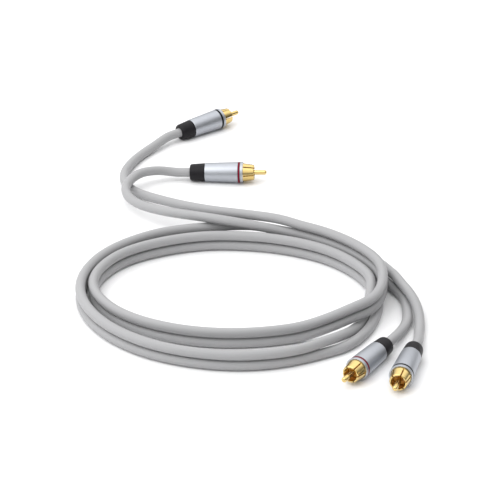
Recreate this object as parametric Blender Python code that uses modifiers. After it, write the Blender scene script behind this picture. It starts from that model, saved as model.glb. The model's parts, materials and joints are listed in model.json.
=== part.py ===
"""A stereo audio cable: two screened leads with a phono plug on each end.

The cable lies as it was put down, in a loose coil of two turns. Lengths are in metres and +Z is up.
The origin is the middle of the four plugs' footprint, on the surface that the cable lies on.

A plug is described along its own axis. Station 0 is the rear face of its boot, and stations grow
towards the tip of its pin. The leads' routes are lists of points chosen by hand about the middle of
the coil, because a cable falls where it falls, and a smooth curve runs through them.
"""

import math

import bmesh
import bpy
import numpy as np
from mathutils import Matrix, Vector

# The middle of the coil in the part's frame, so that the plugs' footprint is centred on the origin
COIL_X = -0.0310
COIL_Y = -0.0669

# The cable
JACKET_DIAMETER = 0.0062
CORE_DIAMETER = 0.0032
CONDUCTOR_DIAMETER = 0.0010
BARE_LENGTH = 0.0008
ROUTE_SAMPLES = 84
BEND_WEIGHT = 0.012  # extra samples in a bend, as metres of straight lead for each radian
JACKET_BEVEL_RESOLUTION = 2
STACK_GAP = 0.0005
FLOOR_GAP = 0.0002

# Air between two pieces that touch on the real plug
SEAT_GAP = 0.0003

# The boot, a soft sleeve pushed into the back of the barrel
BOOT_LENGTH = 0.0100
BOOT_REAR_RADIUS = 0.0055
BOOT_FRONT_RADIUS = 0.0062
BOOT_ROUNDING = 0.0011
SPIGOT_LENGTH = 0.0040

# The barrel, a tapered metal sleeve with a thread inside its front half
BARREL_LENGTH = 0.0260
BARREL_REAR_RADIUS = 0.00635
BARREL_FRONT_RADIUS = 0.00715
BARREL_REAR_BORE = 0.0052
THREAD_BORE = 0.0056
THREAD_LENGTH = 0.0085
LIP_BORE = 0.0063
LIP_DEPTH = 0.0018
BARREL_CHAMFER = 0.00025

# The coloured band that marks the channel, set in a groove behind the barrel's front lip
BAND_SETBACK = 0.0021
BAND_GROOVE_WIDTH = 0.0013
BAND_GROOVE_RADIUS = 0.0063
BAND_SIDE_GAP = 0.00015
BAND_RECESS = 0.00003

# The ground shell, a gilt collet that grips the socket's sleeve
SHELL_COLLET_LENGTH = 0.0074
SHELL_RIM_RADIUS = 0.0052
SHELL_BORE = 0.00425
SHELL_WEB = 0.0004
SHELL_WEB_BORE = 0.0026
SHELL_RIM_CHAMFER = 0.00025
SHELL_THREAD_ENGAGEMENT = 0.0050
SLOT_COUNT = 6
SLOT_WIDTH = 0.0008
SLOT_ROOT_CLEARANCE = 0.0002

# The centre contact and the insulator that holds it
PIN_RADIUS = 0.0016
PIN_REACH = 0.0085
PIN_TIP_LENGTH = 0.0013
CUP_RADIUS = 0.0014
CUP_BORE = 0.0009
CUP_DEPTH = 0.0030
CUP_LENGTH = 0.0032
INSULATOR_RECESS = 0.0057

# The ground tab, one stamping that joins the shell to the cable's screen and grips its jacket
TAB_THICKNESS = 0.0007
TAB_RING_RADIUS = 0.0049
TAB_RING_LENGTH = 0.0007
CLAW_LENGTH = 0.0039
CLAW_SEAM = 0.0012
STRAP_HALF_ANGLE = math.radians(38)

# Sides of the turned pieces, all multiples of the slot count
OUTER_SIDES = 24
INNER_SIDES = 12
SMOOTH_ANGLE = math.radians(35)

# Each plug's place: the middle of its boot's rear face about the coil's middle, the heading of its
# pin in degrees from +X, and how far its slots are turned about its axis
PLUGS = {
    "red_front": {"rear": (0.0867, -0.0733), "heading": -121.0, "slot_turn": 30.0},
    "black_front": {"rear": (0.1034, -0.0778), "heading": -106.0, "slot_turn": 43.0},
    "red_rear": {"rear": (-0.0345, 0.1644), "heading": -4.0, "slot_turn": 30.0},
    "black_rear": {"rear": (-0.0435, 0.2290), "heading": 38.0, "slot_turn": 20.0},
}

# How far a lead runs straight behind its front plug and its rear plug
STRAIGHT_FRONT = 0.008
STRAIGHT_REAR = 0.009

# Stations and heights that follow from the sizes above
JACKET_RADIUS = JACKET_DIAMETER / 2
FLOOR_HEIGHT = JACKET_RADIUS + FLOOR_GAP
STACK_RISE = JACKET_DIAMETER + STACK_GAP
JACKET_BORE = JACKET_RADIUS + SEAT_GAP
SPIGOT_END = BOOT_LENGTH + SPIGOT_LENGTH
BARREL_START = BOOT_LENGTH + SEAT_GAP
BARREL_END = BARREL_START + BARREL_LENGTH
TAPER = (BARREL_FRONT_RADIUS - BARREL_REAR_RADIUS) / BARREL_LENGTH
TILT = math.atan(TAPER)
THREAD_START = BARREL_END - LIP_DEPTH - THREAD_LENGTH
LIP_FLOOR = BARREL_END - LIP_DEPTH
SHELL_SHOULDER = LIP_FLOOR + SEAT_GAP
SHELL_REAR = SHELL_SHOULDER - SHELL_THREAD_ENGAGEMENT
SHELL_FRONT = BARREL_END + SHELL_COLLET_LENGTH
INSULATOR_REAR = SHELL_REAR + SHELL_WEB + SEAT_GAP
INSULATOR_FRONT = SHELL_FRONT - INSULATOR_RECESS
PIN_FRONT = SHELL_FRONT + PIN_REACH
CUP_FRONT = INSULATOR_REAR
CUP_REAR = CUP_FRONT - CUP_LENGTH
TAB_REAR = SPIGOT_END + SEAT_GAP
TAB_FRONT = SHELL_REAR - SEAT_GAP
CLAW_END = TAB_REAR + CLAW_LENGTH
JACKET_END = CLAW_END + SEAT_GAP
CORE_REAR = JACKET_END + SEAT_GAP
CORE_FRONT = CUP_REAR - BARE_LENGTH
CONDUCTOR_REAR = CORE_FRONT + SEAT_GAP
CONDUCTOR_FRONT = CUP_REAR + CUP_DEPTH - SEAT_GAP


def on_floor(points):
    """Give plan points the height of a lead that lies on the surface."""
    return [(x, y, FLOOR_HEIGHT) for x, y in points]


def stacked(points):
    """Lift points by one lead, for a lead that lies on the other."""
    return [(x, y, z + STACK_RISE) for x, y, z in points]


# Both leads run as one pair: the red lead below and the black lead on it. A route goes from its
# front plug round the right, where the black lead climbs on the red one and comes down again, under
# the rest to the back and the outer turn (TURN_ONE), dips under the inner turn at the right, goes
# round again (TURN_TWO), climbs over the first turn at the front right and leaves over the back for
# its rear plug.
TURN_ONE = on_floor([
    (-0.0220, 0.0736), (-0.0393, 0.0700), (-0.0568, 0.0628), (-0.0721, 0.0518),
    (-0.0846, 0.0380), (-0.0934, 0.0213), (-0.0979, 0.0030), (-0.0975, -0.0158),
    (-0.0920, -0.0346), (-0.0825, -0.0517), (-0.0693, -0.0666), (-0.0511, -0.0797),
    (-0.0283, -0.0888), (-0.0050, -0.0927), (0.0180, -0.0909), (0.0360, -0.0852),
])
TURN_TWO = on_floor([
    (0.0796, 0.0083), (0.0738, 0.0200), (0.0652, 0.0316), (0.0534, 0.0424), (0.0399, 0.0504),
    (0.0262, 0.0559), (0.0125, 0.0594), (-0.0015, 0.0612), (-0.0160, 0.0616), (-0.0312, 0.0593),
    (-0.0478, 0.0538), (-0.0620, 0.0466), (-0.0748, 0.0364), (-0.0844, 0.0227),
    (-0.0899, 0.0069), (-0.0899, -0.0093), (-0.0848, -0.0236), (-0.0762, -0.0364),
    (-0.0640, -0.0476), (-0.0489, -0.0564), (-0.0320, -0.0625), (-0.0135, -0.0657),
    (0.0050, -0.0656), (0.0220, -0.0629),
]) + [
    (0.0362, -0.0592, 0.0038), (0.0488, -0.0559, 0.0062), (0.0602, -0.0526, 0.0094),
    (0.0688, -0.0483, 0.0112), (0.0758, -0.0421, 0.0111), (0.0813, -0.0338, 0.0105),
    (0.0852, -0.0240, 0.0102), (0.0874, -0.0125, 0.0100), (0.0880, -0.0005, 0.0100),
    (0.0864, 0.0112, 0.0100), (0.0820, 0.0220, 0.0100), (0.0756, 0.0320, 0.0100),
    (0.0680, 0.0412, 0.0100), (0.0593, 0.0494, 0.0100), (0.0494, 0.0567, 0.0100),
    (0.0383, 0.0630, 0.0102),
]
RED_OUT = [
    (0.0972, -0.0520, 0.0037), (0.1010, -0.0400, 0.0033), (0.1020, -0.0300, 0.0033),
    (0.1020, -0.0207, 0.0033), (0.1013, -0.0120, 0.0033), (0.0990, -0.0040, 0.0033),
    (0.0950, 0.0038, 0.0033), (0.0906, 0.0116, 0.0033), (0.0869, 0.0203, 0.0033),
    (0.0836, 0.0293, 0.0033), (0.0788, 0.0378, 0.0033), (0.0719, 0.0454, 0.0033),
    (0.0622, 0.0530, 0.0033), (0.0506, 0.0598, 0.0033), (0.0375, 0.0656, 0.0033),
    (0.0235, 0.0703, 0.0033), (0.0090, 0.0733, 0.0033), (-0.0065, 0.0744, 0.0033),
]
RED_DIP = on_floor([
    (0.0505, -0.0781), (0.0630, -0.0703), (0.0724, -0.0588), (0.0790, -0.0454),
    (0.0832, -0.0310), (0.0850, -0.0165), (0.0836, -0.0035),
])
RED_BACK = [
    (0.0260, 0.0666, 0.0112), (0.0130, 0.0674, 0.0136), (0.0000, 0.0682, 0.0158),
    (-0.0130, 0.0706, 0.0170), (-0.0265, 0.0768, 0.0162), (-0.0400, 0.0862, 0.0136),
    (-0.0524, 0.0954, 0.0114), (-0.0628, 0.1036, 0.0103), (-0.0708, 0.1124, 0.0100),
    (-0.0754, 0.1226, 0.0100), (-0.0764, 0.1334, 0.0100), (-0.0740, 0.1439, 0.0100),
    (-0.0688, 0.1530, 0.0100), (-0.0614, 0.1598, 0.0090), (-0.0528, 0.1639, 0.0073),
]
BLACK_OUT = [
    (0.1073, -0.0578, 0.0037), (0.1084, -0.0480, 0.0036), (0.1088, -0.0403, 0.0043),
    (0.1086, -0.0334, 0.0056), (0.1075, -0.0271, 0.0074), (0.1056, -0.0207, 0.0091),
    (0.1029, -0.0125, 0.0099), (0.0998, -0.0040, 0.0100), (0.0977, 0.0029, 0.0098),
    (0.0960, 0.0096, 0.0089), (0.0940, 0.0206, 0.0057), (0.0913, 0.0297, 0.0039),
    (0.0869, 0.0384, 0.0033), (0.0805, 0.0468, 0.0033), (0.0721, 0.0545, 0.0033),
    (0.0621, 0.0611, 0.0033), (0.0505, 0.0673, 0.0033), (0.0385, 0.0730, 0.0040),
    (0.0235, 0.0770, 0.0062), (0.0080, 0.0778, 0.0090), (-0.0070, 0.0758, 0.0100),
]
BLACK_DIP = [
    (0.0494, -0.0764, 0.0097), (0.0596, -0.0668, 0.0083), (0.0667, -0.0559, 0.0056),
    (0.0726, -0.0434, 0.0036), (0.0767, -0.0300, 0.0037), (0.0794, -0.0170, 0.0072),
    (0.0810, -0.0040, 0.0099),
]
BLACK_BACK = [
    (0.0260, 0.0693, 0.0177), (0.0125, 0.0745, 0.0176), (-0.0010, 0.0798, 0.0168),
    (-0.0140, 0.0856, 0.0156), (-0.0270, 0.0936, 0.0138), (-0.0400, 0.1044, 0.0112),
    (-0.0530, 0.1178, 0.0080), (-0.0644, 0.1312, 0.0049), (-0.0730, 0.1428, 0.0034),
    (-0.0780, 0.1548, 0.0033), (-0.0792, 0.1674, 0.0033), (-0.0766, 0.1804, 0.0033),
    (-0.0716, 0.1930, 0.0033), (-0.0648, 0.2046, 0.0037), (-0.0576, 0.2146, 0.0047),
]
RED_ROUTE = RED_OUT + TURN_ONE + RED_DIP + TURN_TWO + RED_BACK
BLACK_ROUTE = BLACK_OUT + stacked(TURN_ONE) + BLACK_DIP + stacked(TURN_TWO) + BLACK_BACK


def clear_scene():
    for item in list(bpy.data.objects):
        bpy.data.objects.remove(item, do_unlink=True)


def new_collection(name):
    collection = bpy.data.collections.new(name)
    bpy.context.scene.collection.children.link(collection)
    return collection


def new_material(name, color, roughness, metallic):
    material = bpy.data.materials.new(name)
    material.use_nodes = True
    shader = material.node_tree.nodes["Principled BSDF"]
    shader.inputs["Base Color"].default_value = (*color, 1.0)
    shader.inputs["Roughness"].default_value = roughness
    shader.inputs["Metallic"].default_value = metallic
    material.diffuse_color = (*color, 1.0)
    return material


def make_materials():
    """One finish for each kind of piece, with its colour as the photograph shows it."""
    return {
        "jacket": new_material("grey_jacket", (0.56, 0.55, 0.53), 0.55, 0.0),
        "boot": new_material("black_boot", (0.025, 0.025, 0.028), 0.5, 0.0),
        "barrel": new_material("satin_barrel", (0.72, 0.73, 0.76), 0.32, 1.0),
        "red_band": new_material("red_band", (0.25, 0.03, 0.03), 0.4, 0.0),
        "black_band": new_material("black_band", (0.02, 0.02, 0.02), 0.4, 0.0),
        "gilt": new_material("gilt_contact", (0.85, 0.62, 0.27), 0.2, 1.0),
        "insulator": new_material("dark_insulator", (0.06, 0.04, 0.025), 0.5, 0.0),
        "tab": new_material("brass_tab", (0.78, 0.6, 0.3), 0.35, 1.0),
        "core": new_material("white_core", (0.8, 0.79, 0.75), 0.5, 0.0),
        "conductor": new_material("copper_conductor", (0.75, 0.4, 0.25), 0.35, 1.0),
    }


def rear_point(plug):
    """The middle of a plug's boot's rear face, with its barrel's lowest line on the surface."""
    height = BARREL_REAR_RADIUS * math.cos(TILT) - BARREL_START * math.sin(TILT)
    return Vector((plug["rear"][0] + COIL_X, plug["rear"][1] + COIL_Y, height))


def axis_direction(plug):
    """A plug's axis, which rises by the barrel's taper because the barrel lies on its side."""
    heading = math.radians(plug["heading"])
    flat = math.cos(TILT)
    return Vector((math.cos(heading) * flat, math.sin(heading) * flat, math.sin(TILT)))


def axis_point(plug, station):
    return rear_point(plug) + axis_direction(plug) * station


def plug_frame(name, plug, collection):
    """An empty at a plug's station 0, with its Z along the plug's axis and its X upwards."""
    along = axis_direction(plug)
    side = along.cross(Vector((0, 0, 1))).normalized()
    up = side.cross(along)
    turn = Matrix((up, side, along)).transposed()
    empty = bpy.data.objects.new(f"axis_{name}", None)
    empty.empty_display_size = BARREL_LENGTH
    empty.location = rear_point(plug)
    empty.rotation_euler = turn.to_euler()
    collection.objects.link(empty)
    return empty


def arc(station, radius, size, start, end, steps):
    """Points of a quarter round of a profile: a circle's centre, its size and two angles."""
    angles = [math.radians(start + (end - start) * i / steps) for i in range(steps + 1)]
    return [(station + size * math.sin(a), radius + size * math.cos(a)) for a in angles]


def settle(piece, material):
    """Turn a piece's modifiers into its own mesh, shade it and give it its material."""
    bpy.context.view_layer.update()
    evaluated = piece.evaluated_get(bpy.context.evaluated_depsgraph_get())
    mesh = bpy.data.meshes.new_from_object(evaluated)
    piece.modifiers.clear()
    piece.data = mesh
    mesh.name = piece.name
    mesh.shade_smooth()
    mesh.set_sharp_from_angle(angle=SMOOTH_ANGLE)
    mesh.materials.clear()
    mesh.materials.append(material)
    return piece


def turned(name, profile, closed, sides, frame, collection):
    """A turned piece. Its profile runs down its outer side from the front, and back up its bore."""
    mesh = bpy.data.meshes.new(name)
    points = [(radius, 0.0, station) for station, radius in profile]
    edges = [(i, i + 1) for i in range(len(points) - 1)]
    if closed:
        edges.append((len(points) - 1, 0))
    mesh.from_pydata(points, edges, [])
    piece = bpy.data.objects.new(name, mesh)
    collection.objects.link(piece)
    piece.parent = frame
    screw = piece.modifiers.new("turn", "SCREW")
    screw.axis = "Z"
    screw.angle = math.tau
    screw.steps = sides
    screw.render_steps = sides
    screw.use_merge_vertices = True
    screw.merge_threshold = 0.00001
    return piece


def cutter_box(name, size, centre, turn, frame, cutters):
    """A box that cuts a slot or a gap, turned about the plug's axis."""
    mesh = bpy.data.meshes.new(name)
    box = bmesh.new()
    bmesh.ops.create_cube(box, size=1.0)
    bmesh.ops.scale(box, vec=size, verts=box.verts)
    bmesh.ops.translate(box, vec=centre, verts=box.verts)
    box.to_mesh(mesh)
    box.free()
    cutter = bpy.data.objects.new(name, mesh)
    cutters.objects.link(cutter)
    cutter.parent = frame
    cutter.rotation_euler = (0, 0, turn)
    cutter.display_type = "WIRE"
    cutter.hide_render = True
    return cutter


def cut(piece, cutter):
    boolean = piece.modifiers.new(cutter.name, "BOOLEAN")
    boolean.operation = "DIFFERENCE"
    boolean.solver = "EXACT"
    boolean.object = cutter


def barrel_radius(station):
    """The barrel's outer radius, which grows evenly towards its front."""
    return BARREL_REAR_RADIUS + (station - BARREL_START) * TAPER


def make_boot(name, frame, collection, materials):
    spigot = BARREL_REAR_BORE - SEAT_GAP
    slope = (BOOT_FRONT_RADIUS - BOOT_REAR_RADIUS) / BOOT_LENGTH
    shoulder = BOOT_REAR_RADIUS + slope * BOOT_ROUNDING
    profile = [(SPIGOT_END, spigot), (BOOT_LENGTH, spigot), (BOOT_LENGTH, BOOT_FRONT_RADIUS)]
    profile += arc(BOOT_ROUNDING, shoulder - BOOT_ROUNDING, BOOT_ROUNDING, 0, -90, 3)
    profile += [(0, JACKET_BORE), (SPIGOT_END, JACKET_BORE)]
    piece = turned(f"boot_{name}", profile, True, OUTER_SIDES, frame, collection)
    return settle(piece, materials["boot"])


def make_barrel(name, frame, collection, materials):
    groove_front = BARREL_END - BAND_SETBACK
    groove_rear = groove_front - BAND_GROOVE_WIDTH
    front_edge = BARREL_END - BARREL_CHAMFER
    rear_edge = BARREL_START + BARREL_CHAMFER
    profile = [
        (BARREL_END, barrel_radius(BARREL_END) - BARREL_CHAMFER),
        (front_edge, barrel_radius(front_edge)),
        (groove_front, barrel_radius(groove_front)),
        (groove_front, BAND_GROOVE_RADIUS),
        (groove_rear, BAND_GROOVE_RADIUS),
        (groove_rear, barrel_radius(groove_rear)),
        (rear_edge, barrel_radius(rear_edge)),
        (BARREL_START, BARREL_REAR_RADIUS - BARREL_CHAMFER),
        (BARREL_START, BARREL_REAR_BORE),
        (THREAD_START, BARREL_REAR_BORE),
        (THREAD_START, THREAD_BORE),
        (LIP_FLOOR, THREAD_BORE),
        (LIP_FLOOR, LIP_BORE),
        (BARREL_END, LIP_BORE),
    ]
    piece = turned(f"barrel_{name}", profile, True, OUTER_SIDES, frame, collection)
    return settle(piece, materials["barrel"])


def make_band(name, frame, collection, materials):
    front = BARREL_END - BAND_SETBACK - BAND_SIDE_GAP
    rear = BARREL_END - BAND_SETBACK - BAND_GROOVE_WIDTH + BAND_SIDE_GAP
    inner = BAND_GROOVE_RADIUS + SEAT_GAP
    profile = [
        (front, barrel_radius(front) - BAND_RECESS),
        (rear, barrel_radius(rear) - BAND_RECESS),
        (rear, inner),
        (front, inner),
    ]
    piece = turned(f"band_{name}", profile, True, OUTER_SIDES, frame, collection)
    colour = "red_band" if name.startswith("red") else "black_band"
    return settle(piece, materials[colour])


def make_shell(name, plug, frame, collection, cutters, materials):
    flange = LIP_BORE - SEAT_GAP
    thread = THREAD_BORE - SEAT_GAP
    profile = [
        (SHELL_FRONT, SHELL_RIM_RADIUS - SHELL_RIM_CHAMFER),
        (SHELL_FRONT - SHELL_RIM_CHAMFER, SHELL_RIM_RADIUS),
        (BARREL_END, flange),
        (SHELL_SHOULDER, flange),
        (SHELL_SHOULDER, thread),
        (SHELL_REAR, thread),
        (SHELL_REAR, SHELL_WEB_BORE),
        (SHELL_REAR + SHELL_WEB, SHELL_WEB_BORE),
        (SHELL_REAR + SHELL_WEB, SHELL_BORE),
        (SHELL_FRONT, SHELL_BORE),
    ]
    piece = turned(f"ground_shell_{name}", profile, True, OUTER_SIDES, frame, collection)
    slot_rear = BARREL_END + SLOT_ROOT_CLEARANCE
    slot_front = SHELL_FRONT + SLOT_WIDTH
    size = (3 * flange, SLOT_WIDTH, slot_front - slot_rear)
    centre = (0, 0, (slot_rear + slot_front) / 2)
    for i in range(SLOT_COUNT // 2):
        turn = math.radians(plug["slot_turn"]) + math.tau * i / SLOT_COUNT
        cut(piece, cutter_box(f"slot_{i}_{name}", size, centre, turn, frame, cutters))
    return settle(piece, materials["gilt"])


def make_insulator(name, frame, collection, materials):
    outer = SHELL_BORE - SEAT_GAP
    inner = PIN_RADIUS + SEAT_GAP
    ends = (INSULATOR_FRONT, INSULATOR_REAR)
    profile = [(ends[0], outer), (ends[1], outer), (ends[1], inner), (ends[0], inner)]
    piece = turned(f"insulator_{name}", profile, True, OUTER_SIDES, frame, collection)
    return settle(piece, materials["insulator"])


def make_pin(name, frame, collection, materials):
    """The centre contact: a round-nosed pin with a cup at its back for the conductor."""
    rounds = 4
    profile = []
    for i in range(rounds + 1):
        angle = math.pi / 2 * i / rounds
        station = PIN_FRONT - PIN_TIP_LENGTH * (1 - math.cos(angle))
        profile.append((station, PIN_RADIUS * math.sin(angle)))
    profile += [(CUP_FRONT, PIN_RADIUS), (CUP_FRONT, CUP_RADIUS), (CUP_REAR, CUP_RADIUS)]
    profile += [(CUP_REAR, CUP_BORE), (CUP_REAR + CUP_DEPTH, CUP_BORE), (CUP_REAR + CUP_DEPTH, 0)]
    piece = turned(f"centre_pin_{name}", profile, False, INNER_SIDES, frame, collection)
    return settle(piece, materials["gilt"])


def make_tab(name, frame, collection, cutters, materials):
    """The ground tab: a ring on the shell's back, a strap, and claws closed round the jacket."""
    inner = JACKET_BORE
    outer = inner + TAB_THICKNESS
    ring_rear = TAB_FRONT - TAB_RING_LENGTH
    profile = [
        (TAB_FRONT, TAB_RING_RADIUS),
        (ring_rear, TAB_RING_RADIUS),
        (ring_rear, outer),
        (TAB_REAR, outer),
        (TAB_REAR, inner),
        (TAB_FRONT, inner),
    ]
    piece = turned(f"ground_tab_{name}", profile, True, INNER_SIDES, frame, collection)
    strap_edge = outer * math.cos(STRAP_HALF_ANGLE)
    below = 2 * outer
    size = (strap_edge + below, 2 * below, ring_rear - CLAW_END)
    centre = ((strap_edge - below) / 2, 0, (ring_rear + CLAW_END) / 2)
    cut(piece, cutter_box(f"strap_side_{name}", size, centre, 0, frame, cutters))
    seam_front = (CLAW_END + ring_rear) / 2
    seam_rear = TAB_REAR - TAB_THICKNESS
    size = (below, CLAW_SEAM, seam_front - seam_rear)
    centre = (-below / 2, 0, (seam_front + seam_rear) / 2)
    cut(piece, cutter_box(f"claw_seam_{name}", size, centre, 0, frame, cutters))
    return settle(piece, materials["tab"])


def make_core(name, frame, collection, materials):
    """The end of the core's insulation, where the jacket is stripped back."""
    radius = CORE_DIAMETER / 2
    profile = [(CORE_FRONT, 0), (CORE_FRONT, radius), (CORE_REAR, radius), (CORE_REAR, 0)]
    piece = turned(f"core_{name}", profile, False, INNER_SIDES, frame, collection)
    return settle(piece, materials["core"])


def make_conductor(name, frame, collection, materials):
    """The bare end of the conductor, in the pin's cup."""
    radius = CONDUCTOR_DIAMETER / 2
    ends = (CONDUCTOR_FRONT, CONDUCTOR_REAR)
    profile = [(ends[0], 0), (ends[0], radius), (ends[1], radius), (ends[1], 0)]
    piece = turned(f"conductor_{name}", profile, False, INNER_SIDES, frame, collection)
    return settle(piece, materials["conductor"])


def make_plug(name, plug, collection, cutters, materials):
    frame = plug_frame(name, plug, collection)
    make_boot(name, frame, collection, materials)
    make_barrel(name, frame, collection, materials)
    make_band(name, frame, collection, materials)
    make_shell(name, plug, frame, collection, cutters, materials)
    make_insulator(name, frame, collection, materials)
    make_pin(name, frame, collection, materials)
    make_tab(name, frame, collection, cutters, materials)
    make_core(name, frame, collection, materials)
    make_conductor(name, frame, collection, materials)


def smooth_curve(points, samples):
    """Samples of a natural cubic spline through points, a little closer where it bends."""
    knots = np.array(points, dtype=float)
    spans = np.linalg.norm(np.diff(knots, axis=0), axis=1)
    places = np.concatenate([[0.0], np.cumsum(spans)])
    count = len(knots)
    system = np.eye(count)
    target = np.zeros((count, 3))
    slopes = np.diff(knots, axis=0) / spans[:, None]
    for i in range(1, count - 1):
        system[i, i - 1] = spans[i - 1]
        system[i, i] = 2 * (spans[i - 1] + spans[i])
        system[i, i + 1] = spans[i]
        target[i] = 6 * (slopes[i] - slopes[i - 1])
    bends = np.linalg.solve(system, target)
    fine = np.linspace(0.0, places[-1], 40 * count)
    span = np.clip(np.searchsorted(places, fine, side="right") - 1, 0, count - 2)
    width = spans[span][:, None]
    after = (fine - places[span])[:, None]
    before = width - after
    line = bends[span] * before**3 / (6 * width) + bends[span + 1] * after**3 / (6 * width)
    line += (knots[span] / width - bends[span] * width / 6) * before
    line += (knots[span + 1] / width - bends[span + 1] * width / 6) * after
    moves = np.diff(line, axis=0)
    steps = np.linalg.norm(moves, axis=1)
    headings = moves / steps[:, None]
    turns = np.linalg.norm(np.diff(headings, axis=0, prepend=headings[:1]), axis=1)
    effort = np.concatenate([[0.0], np.cumsum(steps + BEND_WEIGHT * turns)])
    even = np.linspace(0.0, effort[-1], samples)
    return np.stack([np.interp(even, effort, line[:, k]) for k in range(3)], axis=1)


def lead_points(front, route, rear):
    """A whole lead, from inside its front plug along its route to inside its rear plug."""
    start = [axis_point(front, s) for s in (JACKET_END, BOOT_LENGTH, 0.0, -STRAIGHT_FRONT)]
    middle = [(x + COIL_X, y + COIL_Y, z) for x, y, z in route]
    end = [axis_point(rear, s) for s in (-STRAIGHT_REAR, 0.0, BOOT_LENGTH, JACKET_END)]
    return [tuple(p) for p in start] + middle + [tuple(p) for p in end]


def make_jacket(name, front, route, rear, collection, materials):
    points = smooth_curve(lead_points(front, route, rear), ROUTE_SAMPLES)
    curve = bpy.data.curves.new(name, "CURVE")
    curve.dimensions = "3D"
    curve.bevel_depth = JACKET_RADIUS
    curve.bevel_resolution = JACKET_BEVEL_RESOLUTION
    curve.use_fill_caps = True
    spline = curve.splines.new("POLY")
    spline.points.add(len(points) - 1)
    for point, place in zip(spline.points, points):
        point.co = (*place, 1.0)
    curve.materials.append(materials["jacket"])
    piece = bpy.data.objects.new(name, curve)
    collection.objects.link(piece)
    return piece


def main():
    clear_scene()
    collection = new_collection("audio_cable")
    cutters = new_collection("cutters")
    materials = make_materials()
    for name, plug in PLUGS.items():
        make_plug(name, plug, collection, cutters, materials)
    for colour, route in (("red", RED_ROUTE), ("black", BLACK_ROUTE)):
        front = PLUGS[f"{colour}_front"]
        rear = PLUGS[f"{colour}_rear"]
        make_jacket(f"jacket_{colour}", front, route, rear, collection, materials)


main()
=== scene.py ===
# %% [markdown]
# # A stereo audio cable
#
# The object is one finished stereo cable: two grey screened leads in a loose coil of two turns, and
# a phono plug on each of their four ends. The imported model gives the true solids, all in metres with
# +Z up. This lesson lays a fine surface over each solid that can be seen, and gives each surface a
# material worked out by nodes. Nothing is moved: each new piece stands where its solid stands.

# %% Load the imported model
import json
import math

import bpy
import numpy as np
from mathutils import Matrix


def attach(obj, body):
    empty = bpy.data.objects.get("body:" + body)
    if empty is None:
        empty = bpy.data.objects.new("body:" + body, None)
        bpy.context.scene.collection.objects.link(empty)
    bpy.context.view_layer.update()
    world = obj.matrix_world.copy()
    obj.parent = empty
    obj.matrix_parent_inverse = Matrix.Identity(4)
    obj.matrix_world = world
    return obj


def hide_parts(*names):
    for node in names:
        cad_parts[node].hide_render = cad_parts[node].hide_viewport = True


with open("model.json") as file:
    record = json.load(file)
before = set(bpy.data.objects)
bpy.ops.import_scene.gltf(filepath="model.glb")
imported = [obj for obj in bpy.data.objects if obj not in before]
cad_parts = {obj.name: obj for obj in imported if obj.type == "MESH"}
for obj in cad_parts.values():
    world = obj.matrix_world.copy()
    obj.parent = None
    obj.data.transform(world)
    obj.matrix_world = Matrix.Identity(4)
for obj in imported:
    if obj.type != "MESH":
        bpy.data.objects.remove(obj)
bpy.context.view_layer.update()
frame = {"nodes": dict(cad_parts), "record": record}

BODY = "root"
print("pieces in the packed model:", len(frame["nodes"]))

# %% [markdown]
# ## The camera
#
# The photograph looks down on the cable from the front with a long lens, so that the near plugs and
# the far ones come out nearly the same size. A camera could be aimed at a point with a constraint.
# Here it has its place and one tilt, because the view has no turn to the left or the right.

# %% Set up the camera
CAMERA_PLACE = (-0.0248, -1.3994, 0.7192)
CAMERA_LOOKS_DOWN = 27.3
LENS_MM = 175.68
SENSOR_MM = 36.0

camera_data = bpy.data.cameras.new("camera")
camera_data.lens = LENS_MM
camera_data.sensor_width = SENSOR_MM
camera_data.clip_start = 0.01
camera = bpy.data.objects.new("camera", camera_data)
camera.location = CAMERA_PLACE
camera.rotation_euler = (math.radians(90 - CAMERA_LOOKS_DOWN), 0, 0)
bpy.context.scene.collection.objects.link(camera)
bpy.context.scene.camera = camera
print("camera height:", CAMERA_PLACE[2])

# %% [markdown]
# ## Where each plug lies
#
# A plug is easiest to describe along its own axis. Station 0 is the back of its boot, and stations
# grow towards the tip of its pin. The model knows where each axis runs: a seat is recorded on each
# insulator, with the direction that it faces, and the foremost point of each pin is on the axis.

# %% Find the plugs' axes
BOOT_LENGTH = 0.0100
SEAT_GAP = 0.0003
BARREL_LENGTH = 0.0260
SHELL_COLLET_LENGTH = 0.0074
PIN_REACH = 0.0085
BARREL_START = BOOT_LENGTH + SEAT_GAP
BARREL_END = BARREL_START + BARREL_LENGTH
SHELL_FRONT = BARREL_END + SHELL_COLLET_LENGTH
PIN_FRONT = SHELL_FRONT + PIN_REACH
PLUG_NAMES = ("red_front", "black_front", "red_rear", "black_rear")


def node_points(name):
    """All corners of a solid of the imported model, as rows of x, y and z."""
    mesh = frame["nodes"][name].data
    corners = np.empty(len(mesh.vertices) * 3)
    mesh.vertices.foreach_get("co", corners)
    return corners.reshape(-1, 3)


def unit(vector):
    """The vector divided by its length."""
    return vector / np.linalg.norm(vector)


def find_axis(name):
    """A plug's axis: its rear point, its direction, its sideways and its upward direction."""
    seats = {mount["name"]: mount["axis"] for mount in frame["record"]["mounts"]}
    along = unit(np.array(seats[f"socket_seat_{name}"]))
    pin = node_points(f"centre_pin_{name}")
    tip = pin[np.argmax(pin @ along)]
    side = unit(np.cross(along, (0.0, 0.0, 1.0)))
    return {"rear": tip - along * PIN_FRONT, "along": along, "side": side, "up": np.cross(side, along)}


plugs = {name: find_axis(name) for name in PLUG_NAMES}
for name, plug in plugs.items():
    print(name, "boot back at", np.round(plug["rear"], 4))
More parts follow.
